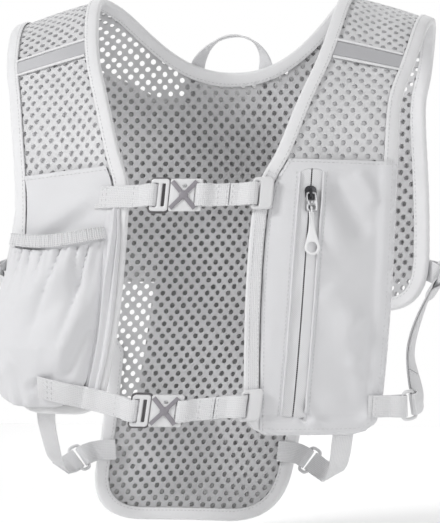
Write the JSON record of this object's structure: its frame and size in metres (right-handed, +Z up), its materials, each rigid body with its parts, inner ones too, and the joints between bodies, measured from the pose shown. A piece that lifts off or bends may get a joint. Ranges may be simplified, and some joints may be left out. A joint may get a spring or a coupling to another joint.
{
  "type": "running hydration vest",
  "caption": "Spacer-mesh running vest with taped edges, zipped chest pocket, gathered bottle pocket, buckled chest straps, side webbing adjusters and a back sleeve.",
  "frame": {"origin": "midway between the two shoulder crests, level with them, where the vest rests on the wearer's shoulders", "axes": "+Z up along the wearer's spine, -Y the wearer's front, +X the wearer's left"},
  "size_m": [0.3571, 0.2202, 0.4117],
  "materials": {
    "spacer_mesh": "open spacer mesh, matt",
    "smooth_cloth": "smooth woven stretch cloth, soft sheen",
    "binding_tape": "folded tape, matt",
    "reflective_tape": "reflective, satin grey",
    "webbing": "ribbed webbing",
    "buckle_plastic": "moulded, satin",
    "coil": "nylon coil",
    "slider_metal": "dark satin",
    "grey_metal": "satin",
    "grip": "moulded white"
  },
  "bodies": {
    "vest": {"back_panel": "spacer_mesh", "left_front_panel": "spacer_mesh", "right_front_panel": "spacer_mesh", "left_front_binding": "binding_tape", "right_front_binding": "binding_tape", "neck_binding": "binding_tape", "back_binding": "binding_tape", "left_reflective_strip": "reflective_tape", "left_upper_piping": "binding_tape", "left_lower_piping": "binding_tape", "right_reflective_strip": "reflective_tape", "right_upper_piping": "binding_tape", "right_lower_piping": "binding_tape", "zip_pocket": "smooth_cloth", "zip_tape_inner": "binding_tape", "zip_tape_outer": "binding_tape", "zip_coil": "coil", "zip_slider": "slider_metal", "strap_rail": "webbing", "bottle_pocket": "smooth_cloth", "bottle_pocket_elastic": "binding_tape", "yoke_cloth": "smooth_cloth", "inner_pocket": "smooth_cloth", "back_sleeve": "smooth_cloth", "left_wing": "smooth_cloth", "right_wing": "smooth_cloth", "waist_pocket": "smooth_cloth", "upper_strap_right": "webbing", "upper_buckle_frame": "buckle_plastic", "upper_buckle_hook": "buckle_plastic", "upper_strap_left": "webbing", "upper_strap_clip": "buckle_plastic", "lower_strap_right": "webbing", "lower_buckle_frame": "buckle_plastic", "lower_buckle_hook": "buckle_plastic", "lower_strap_left": "webbing", "lower_strap_clip": "buckle_plastic", "left_wing_tab": "webbing", "left_side_lock": "buckle_plastic", "left_side_strap": "webbing", "left_side_ring": "grey_metal", "left_side_tab": "webbing", "left_hem_strap": "webbing", "left_hem_ring": "grey_metal", "left_waist_tab": "webbing", "right_wing_tab": "webbing", "right_side_lock": "buckle_plastic", "right_side_strap": "webbing", "right_side_ring": "grey_metal", "right_side_tab": "webbing", "right_hem_strap": "webbing", "right_hem_ring": "grey_metal", "right_waist_tab": "webbing", "haul_loop": "webbing"},
    "zip_pull": {"zip_pull_tab": "grey_metal", "zip_pull_grip": "grip"}
  },
  "joints": [
    {"name": "zip_pull_hinge", "type": "hinge", "parent": "vest", "child": "zip_pull", "pos_m": [0.08174, -0.10497, -0.15086], "axis": [-0.9679, -0.2509, -0.0138], "range_deg": [0, 140]}
  ]
}
